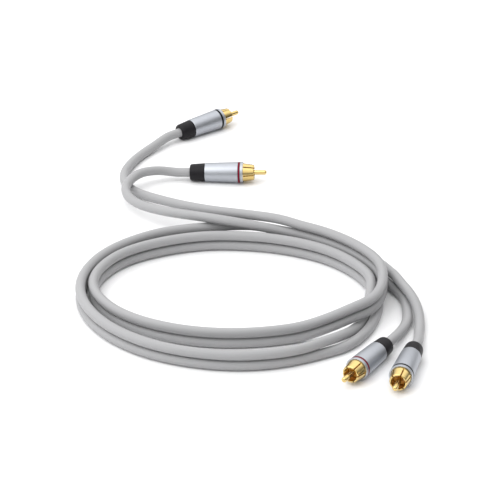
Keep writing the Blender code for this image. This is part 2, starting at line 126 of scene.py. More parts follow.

# %% [markdown]
# ## The routes of the two leads
#
# A lead falls as it falls, so its route is a list of given points, and a smooth curve runs through
# them. The two leads run as one pair, the red plugs' lead below and the black plugs' lead on it, twice
# round the coil. The points are counted from the middle of the coil.

# %% Repeat the routes
COIL_MIDDLE = (-0.0310, -0.0669, 0.0)
LEAD_DIAMETER = 0.0062
FLOOR_HEIGHT = 0.0033
STACK_RISE = 0.0067
CLAW_END = 0.0182
LEAD_END = CLAW_END + SEAT_GAP
STRAIGHT_FRONT = 0.008
STRAIGHT_REAR = 0.009


def on_floor(points):
    """Plan points, each with the height of a lead that lies on the surface."""
    return [(x, y, FLOOR_HEIGHT) for x, y in points]


def stacked(points):
    """The same points, lifted by one lead, for a lead that lies on the other."""
    return [(x, y, z + STACK_RISE) for x, y, z in points]


print("a lead on another lies", round(STACK_RISE * 1000, 1), "mm higher")

# %% List the points
TURN_ONE = on_floor([
    (-0.0220, 0.0736), (-0.0393, 0.0700), (-0.0568, 0.0628), (-0.0721, 0.0518),
    (-0.0846, 0.0380), (-0.0934, 0.0213), (-0.0979, 0.0030), (-0.0975, -0.0158),
    (-0.0920, -0.0346), (-0.0825, -0.0517), (-0.0693, -0.0666), (-0.0511, -0.0797),
    (-0.0283, -0.0888), (-0.0050, -0.0927), (0.0180, -0.0909), (0.0360, -0.0852),
])
TURN_TWO = on_floor([
    (0.0796, 0.0083), (0.0738, 0.0200), (0.0652, 0.0316), (0.0534, 0.0424), (0.0399, 0.0504),
    (0.0262, 0.0559), (0.0125, 0.0594), (-0.0015, 0.0612), (-0.0160, 0.0616), (-0.0312, 0.0593),
    (-0.0478, 0.0538), (-0.0620, 0.0466), (-0.0748, 0.0364), (-0.0844, 0.0227),
    (-0.0899, 0.0069), (-0.0899, -0.0093), (-0.0848, -0.0236), (-0.0762, -0.0364),
    (-0.0640, -0.0476), (-0.0489, -0.0564), (-0.0320, -0.0625), (-0.0135, -0.0657),
    (0.0050, -0.0656), (0.0220, -0.0629),
]) + [
    (0.0362, -0.0592, 0.0038), (0.0488, -0.0559, 0.0062), (0.0602, -0.0526, 0.0094),
    (0.0688, -0.0483, 0.0112), (0.0758, -0.0421, 0.0111), (0.0813, -0.0338, 0.0105),
    (0.0852, -0.0240, 0.0102), (0.0874, -0.0125, 0.0100), (0.0880, -0.0005, 0.0100),
    (0.0864, 0.0112, 0.0100), (0.0820, 0.0220, 0.0100), (0.0756, 0.0320, 0.0100),
    (0.0680, 0.0412, 0.0100), (0.0593, 0.0494, 0.0100), (0.0494, 0.0567, 0.0100),
    (0.0383, 0.0630, 0.0102),
]
RED_OUT = [
    (0.0972, -0.0520, 0.0037), (0.1010, -0.0400, 0.0033), (0.1020, -0.0300, 0.0033),
    (0.1020, -0.0207, 0.0033), (0.1013, -0.0120, 0.0033), (0.0990, -0.0040, 0.0033),
    (0.0950, 0.0038, 0.0033), (0.0906, 0.0116, 0.0033), (0.0869, 0.0203, 0.0033),
    (0.0836, 0.0293, 0.0033), (0.0788, 0.0378, 0.0033), (0.0719, 0.0454, 0.0033),
    (0.0622, 0.0530, 0.0033), (0.0506, 0.0598, 0.0033), (0.0375, 0.0656, 0.0033),
    (0.0235, 0.0703, 0.0033), (0.0090, 0.0733, 0.0033), (-0.0065, 0.0744, 0.0033),
]
RED_DIP = on_floor([
    (0.0505, -0.0781), (0.0630, -0.0703), (0.0724, -0.0588), (0.0790, -0.0454),
    (0.0832, -0.0310), (0.0850, -0.0165), (0.0836, -0.0035),
])
RED_BACK = [
    (0.0260, 0.0666, 0.0112), (0.0130, 0.0674, 0.0136), (0.0000, 0.0682, 0.0158),
    (-0.0130, 0.0706, 0.0170), (-0.0265, 0.0768, 0.0162), (-0.0400, 0.0862, 0.0136),
    (-0.0524, 0.0954, 0.0114), (-0.0628, 0.1036, 0.0103), (-0.0708, 0.1124, 0.0100),
    (-0.0754, 0.1226, 0.0100), (-0.0764, 0.1334, 0.0100), (-0.0740, 0.1439, 0.0100),
    (-0.0688, 0.1530, 0.0100), (-0.0614, 0.1598, 0.0090), (-0.0528, 0.1639, 0.0073),
]
BLACK_OUT = [
    (0.1073, -0.0578, 0.0037), (0.1084, -0.0480, 0.0036), (0.1088, -0.0403, 0.0043),
    (0.1086, -0.0334, 0.0056), (0.1075, -0.0271, 0.0074), (0.1056, -0.0207, 0.0091),
    (0.1029, -0.0125, 0.0099), (0.0998, -0.0040, 0.0100), (0.0977, 0.0029, 0.0098),
    (0.0960, 0.0096, 0.0089), (0.0940, 0.0206, 0.0057), (0.0913, 0.0297, 0.0039),
    (0.0869, 0.0384, 0.0033), (0.0805, 0.0468, 0.0033), (0.0721, 0.0545, 0.0033),
    (0.0621, 0.0611, 0.0033), (0.0505, 0.0673, 0.0033), (0.0385, 0.0730, 0.0040),
    (0.0235, 0.0770, 0.0062), (0.0080, 0.0778, 0.0090), (-0.0070, 0.0758, 0.0100),
]
BLACK_DIP = [
    (0.0494, -0.0764, 0.0097), (0.0596, -0.0668, 0.0083), (0.0667, -0.0559, 0.0056),
    (0.0726, -0.0434, 0.0036), (0.0767, -0.0300, 0.0037), (0.0794, -0.0170, 0.0072),
    (0.0810, -0.0040, 0.0099),
]
BLACK_BACK = [
    (0.0260, 0.0693, 0.0177), (0.0125, 0.0745, 0.0176), (-0.0010, 0.0798, 0.0168),
    (-0.0140, 0.0856, 0.0156), (-0.0270, 0.0936, 0.0138), (-0.0400, 0.1044, 0.0112),
    (-0.0530, 0.1178, 0.0080), (-0.0644, 0.1312, 0.0049), (-0.0730, 0.1428, 0.0034),
    (-0.0780, 0.1548, 0.0033), (-0.0792, 0.1674, 0.0033), (-0.0766, 0.1804, 0.0033),
    (-0.0716, 0.1930, 0.0033), (-0.0648, 0.2046, 0.0037), (-0.0576, 0.2146, 0.0047),
]
ROUTES = {
    "red": RED_OUT + TURN_ONE + RED_DIP + TURN_TWO + RED_BACK,
    "black": BLACK_OUT + stacked(TURN_ONE) + BLACK_DIP + stacked(TURN_TWO) + BLACK_BACK,
}
print("points on the routes:", {colour: len(route) for colour, route in ROUTES.items()})

# %% [markdown]
# ### The curve through the points
#
# A lead bends like a thin springy rod. A natural cubic spline is the curve that such a rod takes
# through its supports, with no bend at its free ends. Blender's own curve handles would do too, but
# then the length is harder to know. Here the curve is solved once and read every 1.5 mm.

# %% Work out the leads' centre lines
LEAD_STEP = 0.0015


def axis_point(plug, station):
    """A point on a plug's axis."""
    return plug["rear"] + plug["along"] * station


def distances_along(line):
    """How far along the line each of its points lies, in straight steps from its first point."""
    return np.concatenate([[0.0], np.cumsum(np.linalg.norm(np.diff(line, axis=0), axis=1))])


def lead_knots(front, route, rear):
    """A lead's own points: inside its front plug, along its route and inside its rear plug."""
    start = [axis_point(front, s) for s in (LEAD_END, BOOT_LENGTH, 0.0, -STRAIGHT_FRONT)]
    middle = list(np.array(route) + COIL_MIDDLE)
    end = [axis_point(rear, s) for s in (-STRAIGHT_REAR, 0.0, BOOT_LENGTH, LEAD_END)]
    return np.array(start + middle + end)


def second_derivatives(knots, spans):
    """The spline's bending at each knot, from the rule that its slope runs on through every knot."""
    count = len(knots)
    inner = np.arange(1, count - 1)
    system = np.eye(count)
    system[inner, inner - 1] = spans[:-1]
    system[inner, inner] = 2 * (spans[:-1] + spans[1:])
    system[inner, inner + 1] = spans[1:]
    slopes = np.diff(knots, axis=0) / spans[:, None]
    target = np.zeros((count, 3))
    target[1:-1] = 6 * np.diff(slopes, axis=0)
    return np.linalg.solve(system, target)


def smooth_line(knots, step):
    """Even samples of a natural cubic spline.

    Between two knots the line is a mix of both knots by distance, plus a cubic part for each knot
    that grows with its bending. The fine line is then read again at even distances along itself.
    """
    spans = np.linalg.norm(np.diff(knots, axis=0), axis=1)
    places = np.concatenate([[0.0], np.cumsum(spans)])
    bends = second_derivatives(knots, spans)
    fine = np.linspace(0.0, places[-1], 40 * len(knots))
    span = np.clip(np.searchsorted(places, fine, side="right") - 1, 0, len(spans) - 1)
    width = spans[span][:, None]
    after = (fine - places[span])[:, None]
    before = width - after
    line = bends[span] * before**3 / (6 * width) + bends[span + 1] * after**3 / (6 * width)
    line += (knots[span] / width - bends[span] * width / 6) * before
    line += (knots[span + 1] / width - bends[span + 1] * width / 6) * after
    travelled = distances_along(line)
    even = np.linspace(0.0, travelled[-1], int(travelled[-1] / step) + 1)
    return np.stack([np.interp(even, travelled, line[:, k]) for k in range(3)], axis=1)


def line_length(line):
    """The distance along a line from its first point to its last."""
    return float(distances_along(line)[-1])


lead_lines = {}
for colour, route in ROUTES.items():
    knots = lead_knots(plugs[f"{colour}_front"], route, plugs[f"{colour}_rear"])
    lead_lines[colour] = smooth_line(knots, LEAD_STEP)
    print(f"{colour} lead: {line_length(lead_lines[colour]):.3f} m")

# %% [markdown]
# ## From a grid of points to a mesh
#
# Each piece here is a surface over two parameters: how far along a profile or a line, and how far
# round. The points come as one array of rows and columns. One helper joins neighbours into faces,
# and it closes the ends. It also stores, with each point, where it lies on its own piece, so
# that a finish can follow a lead through every bend and a lathe's marks can follow a plug's axis.

# %% Turn a grid into a mesh
PLACE = "place_on_piece"


def squares(row, next_row, column, columns):
    """Squares between two rows of a grid, from each given column to the one after it."""
    next_column = (column + 1) % columns
    corners = [
        row * columns + column,
        next_row * columns + column,
        next_row * columns + next_column,
        row * columns + next_column,
    ]
    return np.stack(corners, axis=-1).reshape(-1, 4)


def grid_faces(rows, columns, closed):
    """Squares of a grid that is joined to itself round its columns, and round its rows if closed."""
    row = np.arange(rows if closed else rows - 1)[:, None]
    return squares(row, (row + 1) % rows, np.arange(columns)[None, :], columns)


def end_fan(first, columns, pole, forwards):
    """Triangles from a ring of points to the single point that closes it."""
    ring = first + np.arange(columns)
    after = first + (np.arange(columns) + 1) % columns
    middle = np.full(columns, pole)
    order = (middle, ring, after) if forwards else (middle, after, ring)
    return np.stack(order, axis=-1)


def capped_faces(rows, columns):
    """An open grid, and a fan at each of its ends to the two single points that follow the grid."""
    count = rows * columns
    return [
        grid_faces(rows, columns, False),
        end_fan(0, columns, count, True),
        end_fan(count - columns, columns, count + 1, False),
    ]


def make_piece(name, points, faces, places):
    """A piece from its points, its faces, and the place on it that is stored with each point."""
    mesh = bpy.data.meshes.new(name)
    faces = [face for part in faces for face in part.tolist()]
    mesh.from_pydata(points.reshape(-1, 3).tolist(), [], faces)
    mesh.validate()
    stored = mesh.attributes.new(PLACE, "FLOAT_VECTOR", "POINT")
    stored.data.foreach_set("vector", places.astype(np.float32).ravel())
    mesh.shade_smooth()
    piece = bpy.data.objects.new(name, mesh)
    bpy.context.scene.collection.objects.link(piece)
    return piece


def enclosed_volume(piece):
    """The signed volume of a mesh: a sixth of the sum of its triangles' triple products."""
    mesh = piece.data
    mesh.calc_loop_triangles()
    corners = np.empty(len(mesh.loop_triangles) * 3, dtype=np.int32)
    mesh.loop_triangles.foreach_get("vertices", corners)
    points = np.empty(len(mesh.vertices) * 3)
    mesh.vertices.foreach_get("co", points)
    a, b, c = points.reshape(-1, 3)[corners.reshape(-1, 3)].transpose(1, 0, 2)
    return float(np.einsum("ij,ij->i", a, np.cross(b, c)).sum() / 6)


print("grid helper ready")

# %% [markdown]
# ## The leads
#
# Each lead is an extruded grey jacket over a screen and a core. It could be a curve with a bevel, but
# its finish has to run along it, so it is a tube of rings. Each ring stands square to the line.
# The ends go into the plugs, where a shallow dome closes them.

# %% Sweep the leads
LEAD_SIDES = 40
END_DOME = 0.0004
LEAD_NAMES = {"red": "red_plug_lead", "black": "black_plug_lead"}


def line_frames(line):
    """The tangent of each point of a line, and two directions square to it, one of them level."""
    tangents = np.gradient(line, axis=0)
    tangents /= np.linalg.norm(tangents, axis=1)[:, None]
    level = np.cross(tangents, (0.0, 0.0, 1.0))
    level /= np.linalg.norm(level, axis=1)[:, None]
    return tangents, level, np.cross(level, tangents)


def sweep_lead(name, line, radius):
    """A round tube.

    A point is the line's point, plus the radius times the cosine of the turn along the level
    direction, plus the radius times its sine along the upward one.
    """
    tangents, level, upward = line_frames(line)
    turn = np.linspace(0.0, math.tau, LEAD_SIDES, endpoint=False)
    across = radius * np.cos(turn)
    above = radius * np.sin(turn)
    ring = across[None, :, None] * level[:, None, :] + above[None, :, None] * upward[:, None, :]
    points = (line[:, None, :] + ring).reshape(-1, 3)
    travelled = distances_along(line)
    places = np.empty((len(line), LEAD_SIDES, 3))
    places[..., 0] = travelled[:, None]
    places[..., 1] = across
    places[..., 2] = above
    ends = np.array([line[0] - tangents[0] * END_DOME, line[-1] + tangents[-1] * END_DOME])
    end_places = np.array([(0.0, 0.0, 0.0), (travelled[-1], 0.0, 0.0)])
    points = np.concatenate([points, ends])
    places = np.concatenate([places.reshape(-1, 3), end_places])
    return make_piece(name, points, capped_faces(len(line), LEAD_SIDES), places)


leads = {}
for colour, line in lead_lines.items():
    lead = sweep_lead(LEAD_NAMES[colour], line, LEAD_DIAMETER / 2)
    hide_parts(f"jacket_{colour}")
    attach(lead, BODY)
    leads[colour] = lead
    print(f"{lead.name}: {len(lead.data.polygons)} faces, {enclosed_volume(lead) * 1e6:.1f} ml")

# %% [markdown]
# ## Turned pieces
#
# Boots, barrels, bands, pins and insulators are all round, so each is a profile turned about its
# plug's axis. The profile has a corner only where the real piece has one, and each corner gets the
# small round that a lathe tool or a mould leaves. A Bevel modifier could do it, but rounding
# the profile first costs fewer faces and gives an even edge.

# %% Helpers for turned pieces
TURNED_SIDES = 96
TURNS = np.linspace(0.0, math.tau, TURNED_SIDES, endpoint=False)
ROUND_STEPS = 4


def soften(corners, closed=True):
    """A profile with its corners rounded.

    Each corner is a station, a radius and a reach. A corner with some reach is replaced by a
    parabola that leaves one side and joins the other that far from the corner.
    """
    spots = np.array([corner[:2] for corner in corners])
    reaches = [corner[2] for corner in corners]
    rounded = []
    for i, (spot, reach) in enumerate(zip(spots, reaches)):
        if reach == 0 or (not closed and i in (0, len(spots) - 1)):
            rounded.append(spot)
            continue
        before = unit(spots[i - 1] - spot) * reach
        after = unit(spots[(i + 1) % len(spots)] - spot) * reach
        t = np.linspace(0.0, 1.0, ROUND_STEPS + 1)[:, None]
        rounded.extend(spot + before * (1 - t) ** 2 + after * t**2)
    return np.array(rounded)


def turned_points(plug, stations, radii, turns=TURNS):
    """Points about a plug's axis, as rows for the profile and columns for the turn.

    A point is the axis at its station, plus its radius times the cosine of the turn upwards and
    its sine sideways. Its place on the piece is the station and those two distances. A row has
    one radius, or one for each of its columns, and the rows may share their turns or not.
    """
    radii = np.reshape(radii, (len(stations), -1))
    rise = radii * np.cos(turns)
    aside = radii * np.sin(turns)
    stations = np.broadcast_to(np.reshape(stations, (-1, 1)), rise.shape)
    places = np.stack([stations, rise, aside], axis=-1)
    axes = np.stack([plug["along"], plug["up"], plug["side"]])
    return places @ axes + plug["rear"], places


def turn_ring(name, plug, stations, radii):
    """A turned piece with a hole through it, from a profile that closes on itself."""
    points, places = turned_points(plug, stations, radii)
    return make_piece(name, points, [grid_faces(len(stations), TURNED_SIDES, True)], places)


def turn_solid(name, plug, stations, radii):
    """A turned piece without a hole. Its profile starts and ends on the axis, at single points."""
    points, places = turned_points(plug, stations[1:-1], radii[1:-1])
    end_stations = stations[[0, -1]]
    ends = np.stack([axis_point(plug, station) for station in end_stations])
    end_places = np.array([(station, 0.0, 0.0) for station in end_stations])
    points = np.concatenate([points.reshape(-1, 3), ends])
    places = np.concatenate([places.reshape(-1, 3), end_places])
    return make_piece(name, points, capped_faces(len(stations) - 2, TURNED_SIDES), places)


def fit_over(piece, node):
    """Let a piece stand for its solid, which is hidden, and move with the body."""
    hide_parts(node)
    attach(piece, BODY)
    return piece


print("turned pieces have", TURNED_SIDES, "sides")

# %% [markdown]
# ## The boots
#
# The boot is a black moulded sleeve at the back of the plug. It is soft, so its rear edge is well
# rounded, and its spigot is pushed into the barrel. Its outside narrows a little to the back.

# %% Turn the boots
BOOT_REAR_RADIUS = 0.0055
BOOT_FRONT_RADIUS = 0.0062
BOOT_REAR_ROUND = 0.0015
BOOT_FRONT_ROUND = 0.00025
SPIGOT_LENGTH = 0.0040
SPIGOT_ROUND = 0.0003
BARREL_REAR_BORE = 0.0052
LEAD_BORE = LEAD_DIAMETER / 2 + SEAT_GAP
LEAD_BORE_ROUND = 0.0004


def boot_profile():
    """From the spigot's front edge, down to the boot's front face, its back, and up its bore."""
    spigot = BARREL_REAR_BORE - SEAT_GAP
    spigot_end = BOOT_LENGTH + SPIGOT_LENGTH
    return soften([
        (spigot_end, spigot, SPIGOT_ROUND),
        (BOOT_LENGTH, spigot, 0),
        (BOOT_LENGTH, BOOT_FRONT_RADIUS, BOOT_FRONT_ROUND),
        (0, BOOT_REAR_RADIUS, BOOT_REAR_ROUND),
        (0, LEAD_BORE, LEAD_BORE_ROUND),
        (spigot_end, LEAD_BORE, 0),
    ])


boots = {}
for name, plug in plugs.items():
    boot = turn_ring(f"sleeve_boot_{name}", plug, *boot_profile().T)
    boots[name] = fit_over(boot, f"boot_{name}")
    print(f"{boot.name}: {enclosed_volume(boot) * 1e9:.0f} cubic mm")

# %% [markdown]
# ## The barrels
#
# The barrel is turned from bar and widens to the front by 0.8 mm on its radius. A groove behind the
# front lip takes the coloured band. The screw thread inside is a surface of two parameters:
# its radius rises and falls as the station and the turn go round a helix.

# %% Size the barrels
BARREL_REAR_RADIUS = 0.00635
BARREL_FRONT_RADIUS = 0.00715
TAPER = (BARREL_FRONT_RADIUS - BARREL_REAR_RADIUS) / BARREL_LENGTH
THREAD_BORE = 0.0056
THREAD_LENGTH = 0.0085
THREAD_PITCH = 0.00075
THREAD_DEPTH = 0.00030
THREAD_FADE = 0.0006
THREAD_ROWS_PER_PITCH = 6
LIP_BORE = 0.0063
LIP_DEPTH = 0.0018
BARREL_EDGE = 0.0003
GROOVE_EDGE = 0.00012
BAND_SETBACK = 0.0021
BAND_GROOVE_WIDTH = 0.0013
BAND_GROOVE_RADIUS = 0.0063
LIP_FLOOR = BARREL_END - LIP_DEPTH
THREAD_START = LIP_FLOOR - THREAD_LENGTH
GROOVE_FRONT = BARREL_END - BAND_SETBACK
GROOVE_REAR = GROOVE_FRONT - BAND_GROOVE_WIDTH


def barrel_radius(station):
    """The barrel's outer radius, which grows evenly towards its front."""
    return BARREL_REAR_RADIUS + (station - BARREL_START) * TAPER


print("barrel at its groove:", round(barrel_radius(GROOVE_REAR) * 1000, 2), "mm radius")

# %% Cut the thread
def threaded_rows(first, last, radius):
    """Rows of a screw thread between two stations.

    The radius is the plain one plus half the thread's depth times a triangle wave of the station
    over the pitch less the turn, and the wave fades away at both ends.
    """
    rows = int(abs(last - first) / THREAD_PITCH * THREAD_ROWS_PER_PITCH) + 1
    stations = np.linspace(first, last, rows)
    phase = (stations[:, None] / THREAD_PITCH - TURNS / math.tau) % 1.0
    wave = 4 * np.abs(phase - 0.5) - 1
    room = np.minimum(np.abs(stations - first), np.abs(stations - last))
    fade = np.clip(room / THREAD_FADE, 0.0, 1.0)[:, None]
    return stations, radius + THREAD_DEPTH / 2 * wave * fade


def with_thread(profile, first, last, radius):
    """A plain profile, of which the straight run from first to last is cut as a thread."""
    start = int(np.argmin(np.hypot(profile[:, 0] - first, profile[:, 1] - radius)))
    stations, threads = threaded_rows(first, last, radius)
    plain = np.broadcast_to(profile[:, 1:2], (len(profile), TURNED_SIDES))
    stations = np.concatenate([profile[:start, 0], stations, profile[start + 2:, 0]])
    return stations, np.concatenate([plain[:start], threads, plain[start + 2:]])


print("turns of thread:", round(THREAD_LENGTH / THREAD_PITCH, 1))

# %% Turn the barrels
def barrel_profile():
    """Along the outside from the front edge, over the groove to the back, and up the bores."""
    return soften([
        (BARREL_END, BARREL_FRONT_RADIUS, BARREL_EDGE),
        (GROOVE_FRONT, barrel_radius(GROOVE_FRONT), GROOVE_EDGE),
        (GROOVE_FRONT, BAND_GROOVE_RADIUS, 0),
        (GROOVE_REAR, BAND_GROOVE_RADIUS, 0),
        (GROOVE_REAR, barrel_radius(GROOVE_REAR), GROOVE_EDGE),
        (BARREL_START, BARREL_REAR_RADIUS, BARREL_EDGE),
        (BARREL_START, BARREL_REAR_BORE, GROOVE_EDGE),
        (THREAD_START, BARREL_REAR_BORE, 0),
        (THREAD_START, THREAD_BORE, 0),
        (LIP_FLOOR, THREAD_BORE, 0),
        (LIP_FLOOR, LIP_BORE, 0),
        (BARREL_END, LIP_BORE, GROOVE_EDGE),
    ])


barrels = {}
for name, plug in plugs.items():
    stations, radii = with_thread(barrel_profile(), THREAD_START, LIP_FLOOR, THREAD_BORE)
    barrel = turn_ring(f"satin_barrel_{name}", plug, stations, radii)
    barrels[name] = fit_over(barrel, f"barrel_{name}")
    print(f"{barrel.name}: {len(stations)} rows, {enclosed_volume(barrel) * 1e9:.0f} cubic mm")

# %% [markdown]
# ## The coloured bands
#
# The band is a thin enamelled ring that marks the channel. It lies in the groove almost level with
# the barrel. A stripe of paint would look the same from the front, but the ring has its own
# rounded edges, and these give the fine dark lines on both sides of it.

# %% Turn the bands
BAND_SIDE_GAP = 0.00015
BAND_RECESS = 0.00003
BAND_ROUND = 0.00012


def band_profile():
    """A ring between the groove's two walls, from its front edge round to its bore."""
    front = GROOVE_FRONT - BAND_SIDE_GAP
    rear = GROOVE_REAR + BAND_SIDE_GAP
    inner = BAND_GROOVE_RADIUS + SEAT_GAP
    return soften([
        (front, barrel_radius(front) - BAND_RECESS, BAND_ROUND),
        (rear, barrel_radius(rear) - BAND_RECESS, BAND_ROUND),
        (rear, inner, 0),
        (front, inner, 0),
    ])


bands = {}
for name, plug in plugs.items():
    colour = name.split("_")[0]
    band = turn_ring(f"channel_band_{name}", plug, *band_profile().T)
    bands[name] = fit_over(band, f"band_{name}")
    print(f"{band.name}: {enclosed_volume(band) * 1e9:.1f} cubic mm")

# %% [markdown]
# ## The ground shells
#
# The shell is the gilt collet that grips a socket. Six saw cuts leave six springy petals. A Boolean
# would cut them, but it leaves poor faces on a round wall. Here the wall is a grid whose columns
# follow the cuts. Each cut is 0.8 mm wide at every radius, so its half angle is the arc sine of
# half the width over the radius. A fine Bevel then breaks the sawn edges.

# %% Work out the shell's surface
SHELL_RIM_RADIUS = 0.0052
SHELL_BORE = 0.00425
SHELL_WEB = 0.0004
SHELL_WEB_BORE = 0.0026
SHELL_THREAD_ENGAGEMENT = 0.0050
SHELL_RIM_CHAMFER = 0.00025
SLOT_COUNT = 6
SLOT_WIDTH = 0.0008
SLOT_ROOT = BARREL_END + 0.0002
SLOT_TURNS = {"red_front": 30.0, "black_front": 43.0, "red_rear": 30.0, "black_rear": 20.0}
PETAL_COLUMNS = 13
SLOT_COLUMNS = 3
PETAL_ROWS = 9
FLANGE_FIT = 0.00006
FLANGE_RADIUS = LIP_BORE - FLANGE_FIT
SHELL_THREAD_RADIUS = THREAD_BORE - SEAT_GAP
SHELL_SHOULDER = LIP_FLOOR + SEAT_GAP
SHELL_REAR = SHELL_SHOULDER - SHELL_THREAD_ENGAGEMENT
SHELL_EDGE = 0.00008


def collet_radius(station):
    """The collet's outer radius, which shrinks evenly from the flange to the rim."""
    share = (station - BARREL_END) / (SHELL_COLLET_LENGTH - SHELL_RIM_CHAMFER)
    return FLANGE_RADIUS + (SHELL_RIM_RADIUS - FLANGE_RADIUS) * share


def column_turns(radius, slot_turn):
    """The turn of every column of the wall at one radius.

    A sector is one slot and the petal after it. The slot's columns spread over its half angle on
    each side of the cut's middle, and the petal's columns spread over the rest.
    """
    half = math.asin(SLOT_WIDTH / 2 / radius)
    sector = math.tau / SLOT_COUNT
    slot = np.linspace(-half, half, SLOT_COLUMNS)
    petal = np.linspace(half, sector - half, PETAL_COLUMNS)[1:-1]
    starts = math.radians(slot_turn) + sector * np.arange(SLOT_COUNT)[:, None]
    return (starts + np.concatenate([slot, petal])[None, :]).ravel()


def shell_rings(slot_turn):
    """The shell's rings from the slots' roots outside, round the back, to their roots inside.

    After them come the petals' own rings, from the roots over the rim and back. Each ring is a
    station, a radius and its columns' turns.
    """
    body = [
        (SLOT_ROOT, collet_radius(SLOT_ROOT)),
        (BARREL_END, FLANGE_RADIUS),
        (SHELL_SHOULDER, FLANGE_RADIUS),
        (SHELL_SHOULDER, SHELL_THREAD_RADIUS),
        (SHELL_REAR, SHELL_THREAD_RADIUS),
        (SHELL_REAR, SHELL_WEB_BORE),
        (SHELL_REAR + SHELL_WEB, SHELL_WEB_BORE),
        (SHELL_REAR + SHELL_WEB, SHELL_BORE),
        (SLOT_ROOT, SHELL_BORE),
    ]
    chamfer_start = SHELL_FRONT - SHELL_RIM_CHAMFER
    inside = [(s, SHELL_BORE) for s in np.linspace(SLOT_ROOT, SHELL_FRONT, PETAL_ROWS)[1:]]
    rim = [(SHELL_FRONT, SHELL_RIM_RADIUS - SHELL_RIM_CHAMFER)]
    outside = np.linspace(chamfer_start, SLOT_ROOT, PETAL_ROWS)[:-1]
    petals = inside + rim + [(s, collet_radius(s)) for s in outside]
    rings = body + petals
    turns = np.array([column_turns(radius, slot_turn) for _, radius in rings])
    return np.array(rings), turns, len(body)


print("collet at its root:", round(collet_radius(SLOT_ROOT) * 1000, 2), "mm radius")

# %% Build the shells
def shell_faces(rings, columns, body_rings):
    """Squares of the shell's wall.

    The body's rings are joined all round. The petals' rings are joined where no slot runs. Each
    slot has a root, between the first and the last of the body's rings, and two sawn walls.
    """
    sector = columns // SLOT_COUNT
    column = np.arange(columns)
    in_slot = column % sector < SLOT_COLUMNS - 1
    body = [squares(row, row + 1, column, columns) for row in range(body_rings - 1)]
    petal_rows = [body_rings - 1, *range(body_rings, rings), 0]
    row_pairs = zip(petal_rows, petal_rows[1:])
    petals = [squares(row, after, column[~in_slot], columns) for row, after in row_pairs]
    roots = [squares(body_rings - 1, 0, column[in_slot], columns)]
    half = len(petal_rows) // 2
    inner_rows = petal_rows[:half]
    outer_rows = petal_rows[:half - 1:-1]
    walls = []
    for edge, flip in ((0, False), (SLOT_COLUMNS - 1, True)):
        for slot in range(SLOT_COUNT):
            place = slot * sector + edge
            for i in range(half - 1):
                wall = [inner_rows[i], inner_rows[i + 1], outer_rows[i + 1], outer_rows[i]]
                wall = wall[::-1] if flip else wall
                walls.append([ring * columns + place for ring in wall])
    return body + petals + roots + [np.array(walls)]


def make_shell(name, plug):
    """One gilt shell: its rings are set about the plug's axis, joined, and bevelled."""
    rings, turns, body_rings = shell_rings(SLOT_TURNS[name])
    points, places = turned_points(plug, *rings.T, turns)
    faces = shell_faces(len(rings), turns.shape[1], body_rings)
    shell = make_piece(f"gilt_shell_{name}", points, faces, places)
    bevel = shell.modifiers.new("broken_edges", "BEVEL")
    bevel.width = SHELL_EDGE
    bevel.segments = 2
    bevel.limit_method = "ANGLE"
    bevel.angle_limit = math.radians(32)
    bevel.harden_normals = True
    return shell


shells = {}
for name, plug in plugs.items():
    shell = make_shell(name, plug)
    shells[name] = fit_over(shell, f"ground_shell_{name}")
    print(f"{shell.name}: {enclosed_volume(shell) * 1e9:.0f} cubic mm")

# %% [markdown]
# ## The insulators and the pins
#
# A moulded bush holds the pin in the middle of the shell, and its amber brown is a painted reflection
# of the gold around it. The pin is turned brass, gilt like the shell. It has a round nose so that it
# finds the socket, and a cup at the back for the conductor.

# %% Turn the insulators and pins
PIN_RADIUS = 0.0016
PIN_TIP_LENGTH = 0.0013
PIN_TIP_STEPS = 12
CUP_RADIUS = 0.0014
CUP_BORE = 0.0009
CUP_DEPTH = 0.0030
CUP_LENGTH = 0.0032
INSULATOR_RECESS = 0.0057
INSULATOR_ROUND = 0.00015
PIN_EDGE = 0.0001
INSULATOR_REAR = SHELL_REAR + SHELL_WEB + SEAT_GAP
INSULATOR_FRONT = SHELL_FRONT - INSULATOR_RECESS
CUP_REAR = INSULATOR_REAR - CUP_LENGTH


def insulator_profile():
    """A plain bush between the shell's bore and the pin."""
    outer = SHELL_BORE - SEAT_GAP
    inner = PIN_RADIUS + SEAT_GAP
    return soften([
        (INSULATOR_FRONT, outer, INSULATOR_ROUND),
        (INSULATOR_REAR, outer, INSULATOR_ROUND),
        (INSULATOR_REAR, inner, INSULATOR_ROUND),
        (INSULATOR_FRONT, inner, INSULATOR_ROUND),
    ])


def pin_profile():
    """A quarter ellipse for the nose, the straight pin, and the cup at its back."""
    angle = np.linspace(0.0, math.pi / 2, PIN_TIP_STEPS)
    nose = np.stack([PIN_FRONT - PIN_TIP_LENGTH * (1 - np.cos(angle)), PIN_RADIUS * np.sin(angle)], 1)
    back = soften([
        (PIN_FRONT - PIN_TIP_LENGTH, PIN_RADIUS, 0),
        (INSULATOR_REAR, PIN_RADIUS, PIN_EDGE),
        (INSULATOR_REAR, CUP_RADIUS, 0),
        (CUP_REAR, CUP_RADIUS, PIN_EDGE),
        (CUP_REAR, CUP_BORE, PIN_EDGE),
        (CUP_REAR + CUP_DEPTH, CUP_BORE, 0),
        (CUP_REAR + CUP_DEPTH, 0, 0),
    ], closed=False)
    return np.concatenate([nose, back[1:]])


insulators = {}
pins = {}
for name, plug in plugs.items():
    bush = turn_ring(f"dark_bush_{name}", plug, *insulator_profile().T)
    insulators[name] = fit_over(bush, f"insulator_{name}")
    pin = turn_solid(f"gilt_pin_{name}", plug, *pin_profile().T)
    pins[name] = fit_over(pin, f"centre_pin_{name}")
    print(f"{pin.name}: {enclosed_volume(pin) * 1e9:.0f} cubic mm")

# %% [markdown]
# ## Shared effects as node groups
#
# Several finishes need the same effects: a tone that drifts, a fine grain, a lathe's marks, a polished
# edge. Each effect is one node group with named inputs. A group gives out only a colour, a roughness,
# a mask or a height, and each material places it with its own values. The place that it reads is where
# a point lies on its own piece, so no pattern slides or swims where a lead bends.

